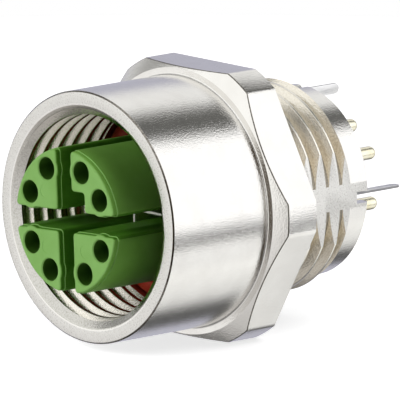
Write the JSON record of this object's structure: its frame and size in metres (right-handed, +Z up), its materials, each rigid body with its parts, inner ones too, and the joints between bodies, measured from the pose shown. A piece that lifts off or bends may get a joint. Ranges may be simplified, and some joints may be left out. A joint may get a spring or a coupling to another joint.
{
  "type": "pcb socket",
  "caption": "Round threaded socket for a circuit board: metal housing with hexagonal flange and panel thread, cross-coded green insert, seal ring, board pins and shield legs.",
  "frame": {"origin": "on the mating axis, in the plane where the flange seats on the panel", "axes": "+Y along the mating axis towards the board pins, the mating face towards -Y, +Z up through a flat of the flange"},
  "size_m": [0.0164, 0.0205, 0.015],
  "materials": {
    "nickel_plating": "bright nickel plating on turned brass",
    "green_plastic": "satin moulded",
    "dark_plastic": "matte moulded",
    "red_rubber": "satin rubber",
    "gold_plating": "bright gold plating",
    "tinned_sheet": "satin tinned sheet"
  },
  "bodies": {
    "root": {"housing": "nickel_plating", "contact_carrier": "green_plastic", "rear_insulator": "dark_plastic", "seal_ring": "red_rubber", "contact_1": "gold_plating", "contact_2": "gold_plating", "contact_3": "gold_plating", "contact_4": "gold_plating", "contact_5": "gold_plating", "contact_6": "gold_plating", "contact_7": "gold_plating", "contact_8": "gold_plating", "shield_plate_level": "tinned_sheet", "shield_plate_upright": "tinned_sheet"}
  },
  "joints": []
}
